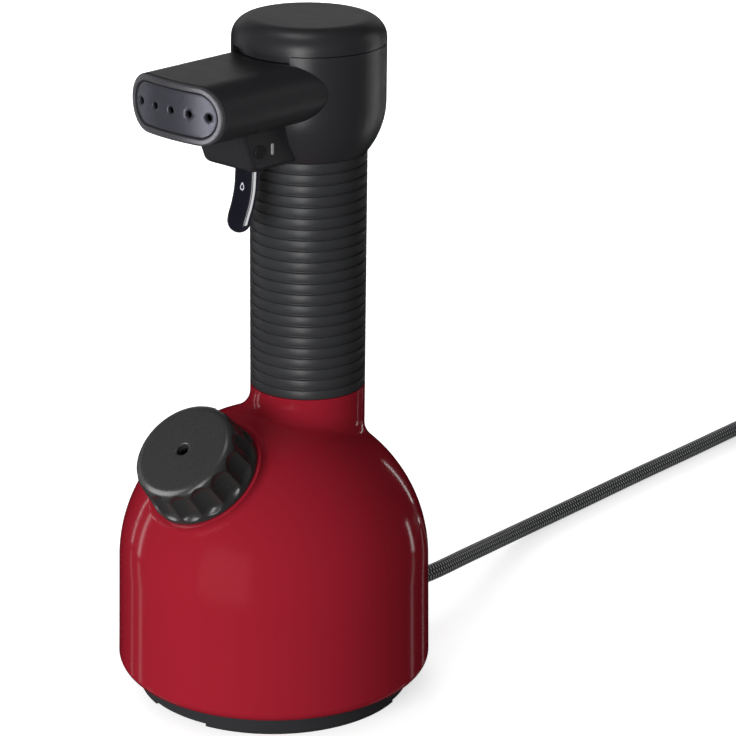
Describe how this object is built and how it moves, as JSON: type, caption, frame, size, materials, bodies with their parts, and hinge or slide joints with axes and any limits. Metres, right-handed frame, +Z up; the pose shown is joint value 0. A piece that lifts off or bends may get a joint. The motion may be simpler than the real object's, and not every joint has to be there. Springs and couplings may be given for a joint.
{
  "type": "garment steamer",
  "caption": "Hand-held garment steamer: domed base with boiler and screw filler cap, ribbed grip, trigger and flat steam nozzle, braided mains cord.",
  "frame": {"origin": "centre of the rubber feet's underside, on the axis of the domed base", "axes": "+Z up along the base and grip, front with nozzle and filler cap towards -Y, cord leaves towards +Y"},
  "size_m": [0.1597, 0.5658, 0.3034],
  "materials": {
    "red_gloss": "deep glossy red",
    "black_satin": "satin black",
    "black_matte": "fine matte black",
    "black_gloss": "glossy black",
    "grip_rubber": "soft dark grey rubber",
    "foot_plastic": "dark grey",
    "foot_rubber": "matt rubber",
    "rim_metal": "satin gunmetal",
    "plate_metal": "polished gunmetal",
    "steel": "pressed steel",
    "brass": "machined",
    "inner_plastic": "moulded",
    "board_green": "board",
    "silicone": "seal",
    "cord_braid": "braided black textile",
    "plug_black": "moulded"
  },
  "bodies": {
    "housing": {"body_shell": "red_gloss", "base_plate": "foot_plastic", "base_screws": "steel", "rubber_feet": "foot_rubber", "boiler_tank": "steel", "filler_neck": "brass", "boiler_support": "inner_plastic", "outlet_fitting": "brass", "steam_pipe": "steel", "heating_element": "steel", "thermostat": "inner_plastic", "thermal_fuse": "steel", "control_board": "board_green", "board_spacers": "inner_plastic", "terminal_block": "inner_plastic", "cord_entry": "cord_braid", "mains_leads": "inner_plastic", "heater_leads": "inner_plastic", "cord_clamp": "inner_plastic", "clamp_screws": "steel", "handle_core": "inner_plastic", "grip_sleeve": "grip_rubber", "head_housing": "black_satin", "head_screws": "steel", "head_cover": "black_satin", "nozzle_shell": "black_satin", "nozzle_rim": "rim_metal", "steam_plate": "plate_metal", "steam_manifold": "silicone", "valve_body": "brass", "valve_spring": "steel", "trigger_housing": "black_satin", "trigger_pin": "black_matte", "trigger_spring": "steel", "cord_relief": "black_matte", "cord_tube": "cord_braid", "cord_tail": "cord_braid", "cord_coil": "cord_braid", "plug_relief": "black_matte", "plug_body": "plug_black", "plug_earth_clips": "steel", "plug_pins": "steel"},
    "trigger": {"trigger": "black_gloss"},
    "valve_stem": {"valve_stem": "steel"},
    "cap_lift": {"cap_gasket": "silicone"},
    "cap_rise": {"cap_washer": "steel"},
    "cap_knob": {"filler_cap": "black_matte", "cap_plug": "brass", "relief_valve": "brass"}
  },
  "joints": [
    {"name": "trigger_pull", "type": "hinge", "parent": "housing", "child": "trigger", "pos_m": [0, -0.0237, 0.2543], "axis": [1, 0, 0], "range_deg": [0, 12], "stiffness_Nm_per_rad": 0.15, "springref_deg": -5.73, "deforming": ["trigger_spring"]},
    {"name": "valve_stem_slide", "type": "slide", "parent": "housing", "child": "valve_stem", "axis": [0, 0, 1], "range_m": [0, 0.0021], "deforming": ["valve_spring"]},
    {"name": "filler_cap_lift", "type": "slide", "parent": "housing", "child": "cap_lift", "axis": [0, -0.6455, 0.7638], "range_m": [0, 0.045]},
    {"name": "filler_cap_rise", "type": "slide", "parent": "cap_lift", "child": "cap_rise", "axis": [0, -0.6455, 0.7638], "range_m": [0, 0.0061]},
    {"name": "filler_cap_turn", "type": "hinge", "parent": "cap_rise", "child": "cap_knob", "pos_m": [0, -0.0497, 0.11821], "axis": [0, -0.6455, 0.7638], "range_deg": [0, 540]}
  ],
  "couplings": [
    {"joint": "valve_stem_slide", "follows": "trigger_pull", "m_per_rad": 0.01},
    {"joint": "filler_cap_rise", "follows": "filler_cap_turn", "m_per_rad": 0.00063662}
  ]
}
